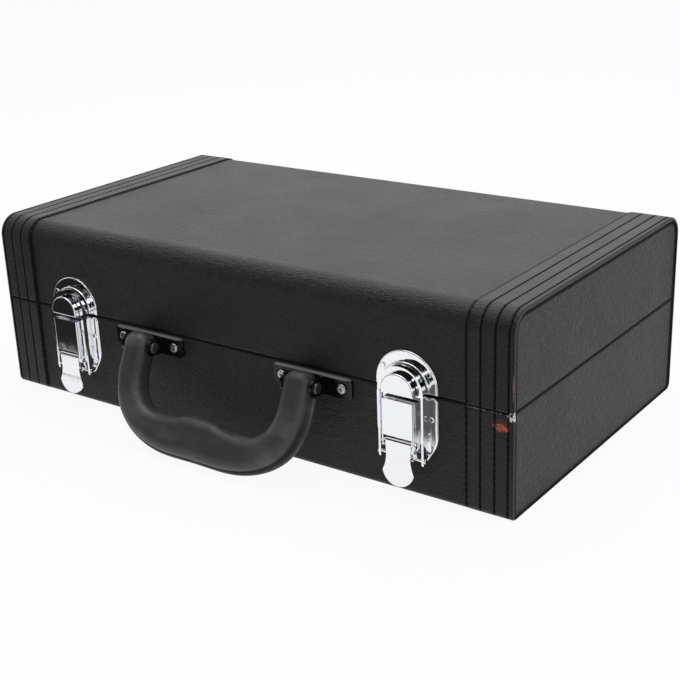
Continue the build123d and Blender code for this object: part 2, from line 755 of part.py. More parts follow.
    with BuildPart() as nose:
        for start, end, radius in (
            (bail_front, nose_back, nose_radius - nose_step),
            (nose_back, nose_front, nose_radius),
        ):
            with BuildSketch(front_plane(x, start)):
                with Locations((0, nose_spring_height)):
                    Circle(radius)
                with Locations((0, nose_foot_height - nose_radius)):
                    Rectangle(4 * nose_radius, 2 * nose_radius, mode=Mode.SUBTRACT)
            extrude(amount=end - start)
        fillet(nose.faces().sort_by(Axis.Y)[0].edges(), latch_round)
    keep(nose, f"latch_nose_{name}")

    with BuildPart() as strike:
        with BuildSketch(front_plane(x)):
            with BuildLine():
                Line((-latch_half_width, strike_foot), (-latch_half_width, strike_spring_height))
                ThreePointArc(
                    (-latch_half_width, strike_spring_height),
                    (0, strike_spring_height + latch_half_width),
                    (latch_half_width, strike_spring_height),
                )
                Polyline(
                    (latch_half_width, strike_spring_height),
                    (latch_half_width, strike_foot),
                    (-latch_half_width, strike_foot),
                )
            make_face()
        extrude(amount=latch_sheet)
        fillet(strike.faces().sort_by(Axis.Y)[0].edges(), latch_round)
        # the stamped shoulder, and the lip that the nose is drawn down behind
        with BuildSketch(front_plane(x, latch_sheet)):
            with Locations((0, bail_spring_height)):
                Circle(shoulder_radius)
            with Locations((0, strike_foot + latch_round - shoulder_radius)):
                Rectangle(4 * shoulder_radius, 2 * shoulder_radius, mode=Mode.SUBTRACT)
        extrude(amount=shoulder_rise)
        fillet(strike.faces().sort_by(Axis.Y)[0].edges(), latch_round)
        with BuildSketch(front_plane(x, latch_sheet + shoulder_rise)):
            with Locations((0, lip_height + lip_thick / 2)):
                Rectangle(2 * lip_half_width, lip_thick)
        extrude(amount=lip_rise)
        face_holes(latch_high_places, latch_rivet_radius + fastener_hole, -skin_y - latch_sheet, latch_sheet)
    keep(strike, f"latch_strike_{name}")

latch_rivet = (-skin_y - latch_sheet, latch_rivet_head, latch_round, latch_rivet_radius, latch_grip)
keep(fasteners(latch_low_places, *latch_rivet), "latch_base_rivets")
keep(fasteners(latch_high_places, *latch_rivet), "latch_lid_rivets")


# ================================================================ drop handle and its brackets
# The handle hangs from its pins and its grip lies on what the case stands on. Its reach follows from the
# pins' height and the leaning angle: the lower corner of the moulded rim comes down to the floor.
handle_y = -skin_y - handle_axis_out
handle_tilt = math.radians(handle_lean)
corner_offset = rim_back + rim_thick / 2 - rim_round
corner_drop = handle_axis_height - handle_floor_gap - rim_round - corner_offset * math.sin(handle_tilt)
handle_reach = corner_drop / math.cos(handle_tilt) + rim_round
handle_end_outer = handle_end_spread + handle_end_width / 2
handle_end_inner = handle_end_spread - handle_end_width / 2
handle_plane = Plane(
    origin=(0, handle_y, handle_axis_height),
    x_dir=(1, 0, 0),
    z_dir=(0, math.cos(handle_tilt), -math.sin(handle_tilt)),
)


def below_pins(outline):
    """The outline's points in the handle's plane, from the shares of its reach."""
    return [(x, share * handle_reach) for x, share in outline]


grip_points = below_pins(grip_outline)
rim_points = below_pins(rim_outline)
gap_points = below_pins(gap_outline)

with BuildPart() as handle_rim:
    with BuildSketch(handle_plane.offset(rim_back)):
        with BuildLine():
            Spline(*rim_points, tangents=((1, 0), (0, -1)))
            Polyline(rim_points[-1], *below_pins(rim_root))
            mirror(about=Plane.YZ)
        make_face()
    extrude(amount=rim_thick / 2, both=True)
    fillet(handle_rim.edges().filter_by(GeomType.BSPLINE), rim_round)

with BuildPart() as handle:
    with BuildSketch(handle_plane):
        with BuildLine():
            Spline(*grip_points, tangents=((1, 0), (0, -1)))
            Polyline(
                grip_points[-1],
                (handle_end_outer, -handle_end_rise),
                (handle_end_inner, -handle_end_rise),
                gap_points[0],
            )
            Spline(*gap_points, tangents=((0, 1), (-1, 0)))
            mirror(about=Plane.YZ)
        make_face()
    extrude(amount=handle_thick / 2, both=True)
    fillet(handle.edges(), handle_round)
    add(handle_rim.part)
    bore(handle_pin_radius + pin_running, 0, handle_y, handle_axis_height, 2 * case_width)
keep(handle, "handle")

washer_inner = handle_end_width / 2 + washer_gap
ear_inner = washer_inner + washer + washer_gap

for name, side in SIDES:
    x = side * bracket_spread
    end_x = side * handle_end_spread
    with BuildPart() as bracket:
        with BuildSketch(front_plane(x)):
            with Locations((0, screw_height)):
                RectangleRounded(bracket_length, bracket_height, 2 * bracket_sheet)
        extrude(amount=bracket_sheet)
        # the upper edge is rolled into a bead
        with Locations((x, -skin_y - bracket_sheet, bracket_top - bracket_bead)):
            Cylinder(bracket_bead, bracket_length - 4 * bracket_sheet, rotation=(0, 90, 0))
        for _, s in SIDES:
            with BuildSketch(side_plane(end_x + s * (ear_inner + ear_sheet / 2))):
                with Locations((bracket_sheet / 2, screw_height)):
                    Rectangle(bracket_sheet, bracket_height - 2 * bracket_sheet)
                with Locations((handle_axis_out, handle_axis_height)):
                    Circle(ear_radius)
                make_hull()
            extrude(amount=ear_sheet / 2, both=True)
        bore(handle_pin_radius + press, x, handle_y, handle_axis_height, bracket_length)
        face_holes(screw_places, screw_radius + fastener_hole, -skin_y - bracket_sheet, bracket_sheet)
    keep(bracket, f"handle_bracket_{name}")

    keep(
        pin(
            end_x, handle_y, handle_axis_height, handle_pin_radius, 2 * (ear_inner + ear_sheet),
            handle_pin_head, handle_pin_head_thick, handle_pin_hollow,
        ),
        f"handle_pin_{name}",
    )

washer_offset = washer_inner + washer / 2
with BuildPart() as washers:
    for x in (-handle_end_spread, handle_end_spread):
        with Locations(*[(x + s * washer_offset, handle_y, handle_axis_height) for _, s in SIDES]):
            Cylinder(washer_radius, washer, rotation=(0, 90, 0))
            Cylinder(handle_pin_radius + press, washer, rotation=(0, 90, 0), mode=Mode.SUBTRACT)
keep(washers, "handle_washers")

screw_grip = bracket_sheet + bite - fit
screw = (-skin_y - bracket_sheet, screw_head, screw_head_thick, screw_radius, screw_grip, screw_cross)
keep(fasteners(screw_places, *screw), "bracket_screws")

print(f"handle reach {handle_reach:.2f}")
print(f"lid axis y {hinge_y:.3f} z {seam_height:.3f}")
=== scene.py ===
# %% [markdown]
# # A small black clarinet case
# The solid parts of the case come from the CAD model, so this lesson is about everything a solid can't
# show: where the picture is taken from, how it is lit, and what each surface is made of. Every piece sits in
# the same frame as the CAD, in metres: X along the case, Y to the hinges, Z up. Sizes of small things are
# written in millimetres and multiplied by MM where they go into the scene.

import math

import bpy
from mathutils import Matrix, Vector


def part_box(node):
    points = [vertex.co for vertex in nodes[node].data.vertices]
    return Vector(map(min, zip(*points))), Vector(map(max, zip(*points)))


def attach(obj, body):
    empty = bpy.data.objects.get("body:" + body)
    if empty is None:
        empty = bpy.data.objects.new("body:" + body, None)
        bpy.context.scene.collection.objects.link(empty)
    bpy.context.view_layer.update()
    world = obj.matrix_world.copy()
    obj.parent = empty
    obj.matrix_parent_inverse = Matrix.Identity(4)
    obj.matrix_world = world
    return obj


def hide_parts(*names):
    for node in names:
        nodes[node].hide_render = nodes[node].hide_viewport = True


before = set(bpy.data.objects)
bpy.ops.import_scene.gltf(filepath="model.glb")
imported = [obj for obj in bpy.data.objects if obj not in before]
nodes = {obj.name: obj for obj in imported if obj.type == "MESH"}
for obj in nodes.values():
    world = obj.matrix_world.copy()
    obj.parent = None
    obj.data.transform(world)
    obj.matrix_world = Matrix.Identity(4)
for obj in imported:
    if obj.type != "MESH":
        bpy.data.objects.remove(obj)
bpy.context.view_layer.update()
MM = 0.001

# %% [markdown]
# ## The camera
# A product picture is taken with a fairly long lens. The camera stands 0.8 m from the case, to its right,
# and looks down by about twenty degrees. Its place and turn are written as a matrix, because the three
# directions of a camera (right, up, backwards) are then easy to read.

# %% The camera
FRAME_PIXELS = 680
FOCAL_PIXELS = 1297.7
SENSOR_MM = 36.0

camera_data = bpy.data.cameras.new("camera")
camera_data.sensor_fit = "HORIZONTAL"
camera_data.sensor_width = SENSOR_MM
camera_data.lens = FOCAL_PIXELS / FRAME_PIXELS * SENSOR_MM
camera = bpy.data.objects.new("camera", camera_data)
bpy.context.scene.collection.objects.link(camera)
camera_place = Vector((0.4373, -0.5895, 0.3088))
camera_right = Vector((0.81374, 0.58010, -0.03609))
camera_up = Vector((-0.17946, 0.30984, 0.93370))
camera_back = Vector((0.55283, -0.75331, 0.35623))
camera_turn = Matrix((camera_right, camera_up, camera_back)).transposed().to_4x4()
camera.matrix_world = Matrix.Translation(camera_place) @ camera_turn
bpy.context.scene.camera = camera
bpy.context.scene.view_settings.view_transform = "Standard"
print("lens:", round(camera_data.lens, 2), "mm")

# %% [markdown]
# ## Helpers for colours and nodes
# Colours are easiest to compare with a picture as sRGB hex values, but shaders work in linear light, so one
# function converts them. A second one adds a node, sets what it is told to set and plugs in what it is
# given, and a third starts a new material.


# %% Colours, nodes and new materials
def linear(code):
    """sRGB hex such as '#2b2b2b' as linear red, green, blue, alpha."""
    parts = [int(code[i : i + 2], 16) / 255 for i in (1, 3, 5)]
    return [c / 12.92 if c <= 0.04045 else ((c + 0.055) / 1.055) ** 2.4 for c in parts] + [1.0]


def add(tree, kind, inputs=None, **settings):
    """Add a node: settings are its own properties, inputs are sockets to plug in or values to set."""
    node = tree.nodes.new(kind)
    for key, value in settings.items():
        setattr(node, key, value)
    for key, value in (inputs or {}).items():
        if isinstance(value, bpy.types.NodeSocket):
            tree.links.new(value, node.inputs[key])
        else:
            node.inputs[key].default_value = value
    return node


def new_material(name, **values):
    """A material with only a principled shader, whose sockets get the given values."""
    material = bpy.data.materials.new(name)
    material.use_nodes = True
    tree = material.node_tree
    shader = tree.nodes["Principled BSDF"]
    for key, value in values.items():
        shader.inputs[key.replace("_", " ")].default_value = value
    return material, tree, shader


print("black vinyl in linear light:", [round(c, 4) for c in linear("#222222")])

# %% [markdown]
# ## The usual nodes
# Nearly every material is made of the same few things: a place on the case, a noise, a sum, a ramp, a mix of
# two values and a bump. Each gets a short name here, so that a material reads like its description.


# %% Short names for the usual nodes
def coordinates(tree):
    """Where a point of the case lies, as sockets named X, Y and Z."""
    place = add(tree, "ShaderNodeTexCoord").outputs["Object"]
    return add(tree, "ShaderNodeSeparateXYZ", {"Vector": place}).outputs


def object_place(tree, scale=(1, 1, 1), turn=(0, 0, 0)):
    """Object coordinates, stretched and turned for a pattern."""
    place = add(tree, "ShaderNodeTexCoord").outputs["Object"]
    mapping = add(tree, "ShaderNodeMapping", {"Vector": place, "Scale": scale, "Rotation": turn})
    return mapping.outputs["Vector"]


def per_metre(pitch_mm):
    """Scale of a pattern whose features lie pitch_mm apart."""
    return 1 / (pitch_mm * MM)


def noise(tree, where, pitch_mm, detail=2.0, roughness=0.5, distortion=0.0, output="Fac"):
    """A cloudy pattern whose features lie pitch_mm apart."""
    inputs = {
        "Vector": where,
        "Scale": per_metre(pitch_mm),
        "Detail": detail,
        "Roughness": roughness,
        "Distortion": distortion,
    }
    return add(tree, "ShaderNodeTexNoise", inputs).outputs[output]


def maths(tree, operation, first, second=0.0):
    """One operation on one or two values."""
    return add(tree, "ShaderNodeMath", {0: first, 1: second}, operation=operation).outputs[0]


def ramp(tree, value, start, end, low=0.0, high=1.0, smooth=True):
    """From low, where a value is at start or before it, to high, where it is at end or beyond."""
    inputs = {"Value": value, "From Min": start, "From Max": end, "To Min": low, "To Max": high}
    kind = "SMOOTHSTEP" if smooth else "LINEAR"
    return add(tree, "ShaderNodeMapRange", inputs, interpolation_type=kind).outputs["Result"]


def mix_numbers(tree, share, first, second):
    """The first number where the share is 0, the second where it is 1."""
    return add(tree, "ShaderNodeMix", {0: share, 2: first, 3: second}, data_type="FLOAT").outputs[0]


def mix_colours(tree, share, first, second):
    """The same for colours, each of which may be a hex code."""
    first, second = [linear(colour) if isinstance(colour, str) else colour for colour in (first, second)]
    return add(tree, "ShaderNodeMix", {0: share, 6: first, 7: second}, data_type="RGBA").outputs[2]


def bumped(tree, height, depth_mm, under=None, strength=1.0):
    """Normal of a surface raised by a height, on top of another normal."""
    inputs = {"Height": height, "Distance": depth_mm * MM, "Strength": strength}
    if under is not None:
        inputs["Normal"] = under
    return add(tree, "ShaderNodeBump", inputs).outputs["Normal"]


print("scale of a pattern with features 1 mm apart:", per_metre(1.0))

# %% [markdown]
# ## Light
# The case was photographed in a white studio. A large soft lamp hangs over it, a second one stands behind
# and glances off the lid, a third stands to its right, a narrow strip draws the thin bright lines on the
# handle's fittings, and a weak lamp beside the camera fills the shadows. The white room itself adds a little
# light, and it stands bright in everything glossy, which is what makes the plated latches shine.

# %% World and lamps
ROOM_LIGHT = 0.22  # what the white room adds to matt surfaces
ROOM_REFLECTION = 0.80  # how bright it stands in glossy ones
CASE_MIDDLE = (0, 0, 0.05)
LAMPS = (
    # name, place, point that it faces, width and height in metres, power in watts
    ("top_softbox", (-0.10, 0.42, 1.25), CASE_MIDDLE, 1.6, 1.2, 14),
    ("back_softbox", (-1.35, 1.85, 0.95), CASE_MIDDLE, 3.0, 1.4, 9),
    ("right_softbox", (1.45, 0.25, 0.55), CASE_MIDDLE, 1.0, 1.0, 10),
    ("strip_light", (-0.10, -0.35, 1.20), CASE_MIDDLE, 1.0, 0.06, 1.6),
    ("front_fill", (0.75, -0.95, 0.75), (0.12, -0.1, 0.05), 0.35, 0.35, 0.8),
)


def soft_lamp(name, place, aim, width, height, power):
    """A rectangular soft lamp that faces a point."""
    data = bpy.data.lights.new(name, "AREA")
    data.shape = "RECTANGLE"
    data.size = width
    data.size_y = height
    data.energy = power
    lamp = bpy.data.objects.new(name, data)
    bpy.context.scene.collection.objects.link(lamp)
    away = Vector(place) - Vector(aim)
    lamp.matrix_world = Matrix.Translation(place) @ away.to_track_quat("Z", "Y").to_matrix().to_4x4()


world = bpy.data.worlds.new("studio")
bpy.context.scene.world = world
world.use_nodes = True
tree = world.node_tree
ray = add(tree, "ShaderNodeLightPath").outputs
lit = mix_numbers(tree, ray["Is Glossy Ray"], ROOM_LIGHT, ROOM_REFLECTION)
seen = maths(tree, "MAXIMUM", ray["Is Camera Ray"], ray["Is Transmission Ray"])
background = tree.nodes["Background"]
background.inputs["Color"].default_value = (1, 1, 1, 1)
tree.links.new(mix_numbers(tree, seen, lit, 1.0), background.inputs["Strength"])
for lamp in LAMPS:
    soft_lamp(*lamp)
print("lamps:", [lamp[0] for lamp in LAMPS])

# %% [markdown]
# ## Floor
# The picture's background is pure white. The floor is a pale sheet that glows to the camera and to glossy
# surfaces, so that it melts into the white world. A small share of what the camera sees is lit normally, so
# that the case keeps its soft shadow.

# %% Floor
FLOOR_SIZE = 12.0
FLOOR_DROP = 0.2  # mm, which keeps it clear of the case's underside
CAMERA_GLOW = 0.93
GLOSSY_GLOW = 0.95

bpy.ops.object.select_all(action="DESELECT")
bpy.ops.mesh.primitive_plane_add(size=FLOOR_SIZE, location=(0, 0, -FLOOR_DROP * MM))
floor = bpy.context.object
floor.name = "floor"
paper, tree, shader = new_material("studio_paper", Base_Color=linear("#e9e9e9"), Roughness=0.9)
ray = add(tree, "ShaderNodeLightPath").outputs
to_camera = maths(tree, "MULTIPLY", ray["Is Camera Ray"], CAMERA_GLOW)
to_gloss = maths(tree, "MULTIPLY", ray["Is Glossy Ray"], GLOSSY_GLOW)
share = maths(tree, "ADD", to_gloss, to_camera)
glow = add(tree, "ShaderNodeEmission", {"Color": (1, 1, 1, 1), "Strength": 1.0}).outputs["Emission"]
sheet = add(tree, "ShaderNodeMixShader", {0: share, 1: shader.outputs["BSDF"], 2: glow})
tree.links.new(sheet.outputs[0], tree.nodes["Material Output"].inputs["Surface"])
floor.data.materials.append(paper)
print("floor at z", round(floor.location.z, 5))

# %% [markdown]
# ## Dark cards
# Without dark things to mirror, chrome looks like paper. So the room behind the camera is dark, and two dark
# cards lie on the floor: one to the left of the case, which the left latch mirrors, and one in front of its
# right end, for the right latch. The camera doesn't see them and they throw no shadow: they only show in
# what is glossy.

# %% Dark cards
CARD_FADE = 0.035  # share of a card's length over which it fades to white, at its far end
CARD_LIFT = 0.6  # mm above the ground
UPRIGHT = (math.pi / 2, 0, 0)
FLAT = (0, 0, 0)


def dark_card(name, place, turn, width, height, shade):
    """A matt dark card that only shows in reflections and fades to white at its far end."""
    bpy.ops.object.select_all(action="DESELECT")
    bpy.ops.mesh.primitive_plane_add(size=1.0, location=place, rotation=turn)
    card = bpy.context.object
    card.name = name
    card.scale = (width, height, 1)
    card.visible_camera = False
    card.visible_diffuse = False
    card.visible_shadow = False
    felt, tree, shader = new_material(name + "_felt", Roughness=1.0, Specular_IOR_Level=0.0)
    faded = ramp(tree, coordinates(tree)["Y"], 0.5 - CARD_FADE, 0.5)
    tree.links.new(mix_colours(tree, faded, shade, "#f4f4f4"), shader.inputs["Base Color"])
    card.data.materials.append(felt)


dark_card("room_behind_camera", (0, -2.4, 1.6), UPRIGHT, 7.0, 2.8, "#0a0a0a")
dark_card("card_left_of_case", (-0.485, -0.402, CARD_LIFT * MM), FLAT, 0.69, 0.485, "#242424")
dark_card("card_right_of_latch", (0.30, -0.33, CARD_LIFT * MM), FLAT, 0.33, 0.36, "#5c5c5c")

# %% [markdown]
# ## The covering's grain
# The box is covered with vinyl-coated cloth. The coating is pressed with a fine leather grain: pebbles about
# a millimetre across with shallow valleys between them, and short creases over them. Voronoi cells give the
# pebbles, their edges the valleys, and a stretched noise gives the creases.

# %% Pebbles and creases
WANDER = 0.0006  # share of a noise in the coordinates: it bends the outlines by up to 0.6 mm
VALLEY = 0.28  # how far the valleys reach into a pebble, as a share of the distance between pebbles
LENGTHWISE = {"stretch": (0.45, 1.0, 1.0), "turn": (0, 0, 0), "pitch_mm": 1.2}
SLANTING = {"stretch": (1.0, 0.45, 1.0), "turn": (math.radians(-40), 0, 0), "pitch_mm": 1.6}


def pebble_grain(tree, where, pebble_mm):
    """Height of pressed pebbles: 1 on their tops, 0 in the valleys between them."""
    wander = noise(tree, where, 3.0 * pebble_mm, output="Color")
    bent = add(tree, "ShaderNodeMix", {0: WANDER, 4: where, 5: wander}, data_type="VECTOR").outputs[1]
    cells = {"Vector": bent, "Scale": per_metre(pebble_mm)}
    pebbles = add(tree, "ShaderNodeTexVoronoi", cells, feature="DISTANCE_TO_EDGE")
    return ramp(tree, pebbles.outputs["Distance"], 0.0, VALLEY)


def creases(tree, stretch, turn, pitch_mm):
    """Height of short creases, pitch_mm apart and drawn out along the axis that is stretched."""
    folds = noise(tree, object_place(tree, stretch, turn), pitch_mm, distortion=0.9)
    return ramp(tree, folds, 0.38, 0.62)


print("creases:", LENGTHWISE["pitch_mm"], "and", SLANTING["pitch_mm"], "mm apart")

# %% [markdown]
# ## Places on the case
# Some of the covering's looks belong to a place: the cloth turns in at the seam, is pulled down in the rows
# of stitches, and lies in the shade of the lip that stands round an end panel, which is painted into the
# colour. These helpers measure how far a point lies from such a place. The sizes that are set here are in
# millimetres.

# %% Distances from the seam, the rows and the lip
SEAM = (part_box("lid_cover")[0].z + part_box("base_cover")[1].z) / 2 / MM
BAND_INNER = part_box("lid_band_right")[0].x / MM
LID_ROUND = 12.0  # radius of the lid's long edges
BASE_ROUND = 4.5  # and of the base's
LIP_THICK = 2.3  # band and cover together, which stand round an end panel
LIP_SHADE = 1.4  # how much further out the lip counts as lying at the floor, where it shades less
ROW_PLACES = (7.2, 15.0, 22.3)  # from the band's inner edge to the middle of each groove
# painted shade along the band's inner edge, which stands proud
EDGE_SHADE = (-0.9, -0.3)  # the band's inner edge stands proud, so its shade is as wide as two rows
STITCH_PITCH = 3.6


def eased(tree, value, start_mm, end_mm):
    """0 up to the first distance, 1 beyond the second."""
    return ramp(tree, value, start_mm * MM, end_mm * MM)


def distance_to(tree, axis, places_mm, mirrored=False):
    """Distance in metres from the nearest of some planes across an axis, on both sides if mirrored."""
    along = coordinates(tree)[axis]
    if mirrored:
        along = maths(tree, "ABSOLUTE", along)
    gaps = [maths(tree, "ABSOLUTE", maths(tree, "SUBTRACT", along, place * MM)) for place in places_mm]
    nearest = gaps[0]
    for gap in gaps[1:]:
        nearest = maths(tree, "MINIMUM", nearest, gap)
    return nearest


def panel_edge(tree):
    """Distance in metres from the outline of an end panel, which is rounded at the top."""
    radius = (LID_ROUND - LIP_THICK) * MM
    low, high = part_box("base_end_right")[0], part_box("lid_end_right")[1]
    point = coordinates(tree)
    side = maths(tree, "SUBTRACT", maths(tree, "ABSOLUTE", point["Y"]), high.y - radius)
    up = maths(tree, "SUBTRACT", point["Z"], high.z - radius)
    beyond = {0: maths(tree, "MAXIMUM", side, 0.0), 1: maths(tree, "MAXIMUM", up, 0.0)}
    corner = add(tree, "ShaderNodeCombineXYZ", beyond).outputs[0]
    reach = add(tree, "ShaderNodeVectorMath", {0: corner}, operation="LENGTH").outputs["Value"]
    within = maths(tree, "MINIMUM", maths(tree, "MAXIMUM", side, up), 0.0)
    rounded = maths(tree, "SUBTRACT", radius, maths(tree, "ADD", reach, within))
    from_floor = maths(tree, "SUBTRACT", point["Z"], low.z - LIP_SHADE * MM)
    return maths(tree, "MINIMUM", rounded, from_floor)


print("seam at", round(SEAM, 2), "mm, bands from", round(BAND_INNER, 2), "mm")

# %% [markdown]
# ## What is pulled in
# A relief is 1 where the skin lies level and 0 where it is pulled in or shaded. It bends the surface, and
# the vinyl paints shade into its colour where it is low. The cover and the bands have the rows of stitches,
# which dip deepest where the thread goes through, and a painted shade along a band's inner edge. The end
# panels have their outline.


# %% Reliefs of the rows and of an end panel
def stitched(tree):
    """1 on a band's strips, 0 along its rows, pulled in most where a stitch goes through."""
    rows = [BAND_INNER + place for place in (*EDGE_SHADE, *ROW_PLACES)]
    strip = eased(tree, distance_to(tree, "X", rows, mirrored=True), 0.20, 0.95)
    point = coordinates(tree)
    run = maths(tree, "ADD", point["Y"], point["Z"])
    wave = maths(tree, "SINE", maths(tree, "MULTIPLY", run, 2 * math.pi / (STITCH_PITCH * MM)))
    pull = ramp(tree, wave, -1.0, 1.0, 0.4, 1.8, smooth=False)
    return maths(tree, "POWER", strip, pull)


def shaded_outline(tree):
    """0 in the corner between an end panel and the lip round it, 1 further in."""
    return eased(tree, panel_edge(tree), 1.6, 3.2)


print("rows on each band:", 1 + len(ROW_PLACES), "pitch of the stitches:", STITCH_PITCH, "mm")

# %% [markdown]
# ## Vinyl-coated cloth
# One function makes all three vinyls of the case. From below, the surface is built up of slow waves in the
# board, the edge that turns in at the seam, the relief, and the grain. Shade is painted into the colour: the
# valleys of the grain are darker than its tops, and the skin goes near black in the rows, at the seam and
# round an end panel's outline. A cloudy noise breaks up the gloss, as handling does. The end panels have a
# coarser print than the rest, with slanting creases, and a lighter grey, partly their own colour and partly
# painted light for the brighter end of the case.

# %% The three vinyls
WAVE_PITCH = 26.0
WAVE_DEPTH = 0.07
RELIEF_DEPTH = 0.7
SMUDGE_PITCH = 45.0
VALLEY_SHADE = 0.35  # brightness of the valleys as a share of the tops


def vinyl(name, colour, pebble_mm, depth_mm, roughness, folds, crease, relief, seam_mm=1.7):
    """Pressed vinyl: folds and crease are the creased print and its share, relief what is pulled in."""
    material, tree, shader = new_material(name, Specular_IOR_Level=0.30)
    where = object_place(tree)
    grain = mix_numbers(tree, crease, pebble_grain(tree, where, pebble_mm), creases(tree, **folds))
    level = relief(tree)
    from_seam = distance_to(tree, "Z", [SEAM])
    normal = bumped(tree, noise(tree, where, WAVE_PITCH), WAVE_DEPTH)
    normal = bumped(tree, eased(tree, from_seam, 0.0, seam_mm), 0.5 * seam_mm, normal)
    normal = bumped(tree, level, RELIEF_DEPTH, normal)
    normal = bumped(tree, grain, depth_mm, normal)
    tree.links.new(normal, shader.inputs["Normal"])
    # painted shade: near black in the rows, round the outline and at the seam, where the skin has lost its
    # polish
    clear_of_painted_shade = maths(tree, "MULTIPLY", eased(tree, from_seam, 0.15 * seam_mm, 0.6 * seam_mm), level)
    smudge = noise(tree, where, SMUDGE_PITCH, detail=4.0)
    gloss = ramp(tree, smudge, 0.3, 0.7, roughness - 0.03, roughness + 0.04, smooth=False)
    tree.links.new(mix_numbers(tree, clear_of_painted_shade, 1.0, gloss), shader.inputs["Roughness"])
    # painted shade: the grain's valleys are darker than its tops
    painted_valley_shade = [VALLEY_SHADE * c for c in linear(colour)[:3]] + [1.0]
    tint = mix_colours(tree, grain, painted_valley_shade, colour)
    # painted shade: near black in the rows, round an end panel's outline and at the seam
    tree.links.new(mix_colours(tree, clear_of_painted_shade, "#040404", tint), shader.inputs["Base Color"])
    return material


cover_vinyl = vinyl(
    "vinyl_cloth_fine_grain", "#222222", pebble_mm=1.0, depth_mm=0.26, roughness=0.48,
    folds=LENGTHWISE, crease=0.7, relief=stitched,
)
band_vinyl = vinyl(
    "vinyl_cloth_band", "#222222", pebble_mm=1.0, depth_mm=0.16, roughness=0.45,
    folds=LENGTHWISE, crease=0.5, relief=stitched,
)
# the end panels' lighter grey is partly their own colour and partly painted light for the brighter end
end_vinyl = vinyl(
    "vinyl_cloth_creased", "#303030", pebble_mm=1.4, depth_mm=0.80, roughness=0.50,
    folds=SLANTING, crease=0.7, relief=shaded_outline, seam_mm=2.4,
)
print("vinyls:", cover_vinyl.name, band_vinyl.name, end_vinyl.name)

# %% [markdown]
# ## Wear and painted highlights at one corner
# The case in the picture has been knocked at its front right corner. Under the seam the black is rubbed off
# and an orange-red priming shows, and at the very corner a chip has gone down to the white cloth backing. A
# thin grey line along the base's rim and a brown line up the lid's edge above are partly rubbed wear and
# partly painted highlight on those edges. Each mark is a soft ball of influence in space, made ragged by
# noise, that mixes another colour into the band's vinyl.

# %% Marks of wear and painted highlight on the bands
WEAR_AND_EDGE_HIGHLIGHTS = (
    # colour; middle of the mark, its half sizes and its raggedness in mm; threshold, lower for a fuller mark
    # the first two marks, on the lid's corner edge and the base's rim, are partly wear and partly painted
    # highlight
    ("#66504c", (174.8, -97.3, 71.0), (0.9, 0.9, 12.0), 1.0, 0.40),
    ("#7c7875", (158.0, -97.5, 56.5), (22.0, 1.2, 0.7), 1.6, 0.46),
    ("#4a2a25", (168.5, -97.5, 50.4), (8.5, 2.0, 5.5), 1.6, 0.42),
    ("#cc5c46", (168.2, -97.5, 49.4), (6.8, 2.0, 3.2), 1.2, 0.44),
    ("#f6f2ec", (174.6, -96.8, 56.0), (5.0, 4.0, 4.2), 1.7, 0.45),
)
SPOT_EDGE = 0.06


def ragged_spot(tree, centre_mm, size_mm, ragged_mm, threshold):
    """1 inside a ragged spot round a point of the case, 0 outside it; sizes are the spot's half axes."""
    where = object_place(tree)
    centre = [c * MM for c in centre_mm]
    size = [c * MM for c in size_mm]
    apart = add(tree, "ShaderNodeVectorMath", {0: where, 1: centre}, operation="SUBTRACT").outputs[0]
    scaled = add(tree, "ShaderNodeVectorMath", {0: apart, 1: size}, operation="DIVIDE").outputs[0]
    reach = add(tree, "ShaderNodeVectorMath", {0: scaled}, operation="LENGTH").outputs["Value"]
    inside = ramp(tree, reach, 0.5, 1.0, low=1.0, high=0.0)
    ragged = maths(tree, "MULTIPLY", inside, noise(tree, where, ragged_mm, detail=4.0, roughness=0.7))
    return ramp(tree, ragged, threshold, threshold + SPOT_EDGE, smooth=False)


tree = band_vinyl.node_tree
shader = tree.nodes["Principled BSDF"]
colour = shader.inputs["Base Color"].links[0].from_socket
for code, centre, size, ragged, threshold in WEAR_AND_EDGE_HIGHLIGHTS:
    colour = mix_colours(tree, ragged_spot(tree, centre, size, ragged, threshold), colour, code)
tree.links.new(colour, shader.inputs["Base Color"])
print("marks of wear:", len(WEAR_AND_EDGE_HIGHLIGHTS))

# %% [markdown]
# ## Plywood
# The box is glued up from thin plywood, which only shows as pale edges at the mouth of the case. A stretched
# noise draws the grain along it.

# %% Birch plywood
plywood, tree, shader = new_material("birch_plywood", Roughness=0.62)
grain = noise(tree, object_place(tree, scale=(0.12, 1.0, 1.0)), 1.2, detail=5.0, distortion=0.3)
tree.links.new(mix_colours(tree, grain, "#b08d62", "#d8bd92"), shader.inputs["Base Color"])
tree.links.new(bumped(tree, grain, 0.1, strength=0.4), shader.inputs["Normal"])
print("wood:", plywood.name)

# %% [markdown]
# ## Plush
# The pockets and the lid are lined with short black plush. Its pile stands on end, so it looks darker seen
# straight on and paler at a glancing angle, which the shader's sheen gives. Cloudy noise paints lighter and
# darker patches into the colour, a painted sheen where the pile has been stroked one way or the other, and a
# very fine noise gives the tips of the pile.

# %% Short-pile plush
plush, tree, shader = new_material(
    "short_pile_plush", Roughness=0.95, Sheen_Weight=0.45, Sheen_Roughness=0.35, Specular_IOR_Level=0.1
)
where = object_place(tree)
pile = noise(tree, where, 0.8, detail=3.0)
painted_stroke_sheen = noise(tree, where, 28.0, detail=3.0, distortion=0.8)
# painted sheen: lighter and darker patches of stroked pile
tree.links.new(mix_colours(tree, painted_stroke_sheen, "#111114", "#2b2b31"), shader.inputs["Base Color"])
tree.links.new(bumped(tree, pile, 0.6, strength=0.9), shader.inputs["Normal"])
print("lining:", plush.name)

# %% [markdown]
# ## The handle's plastic
# The handle is moulded from soft black vinyl. It has a fine spark-eroded texture from the mould, and where
# hands and tables have rubbed it the black has turned a little grey and smoother.

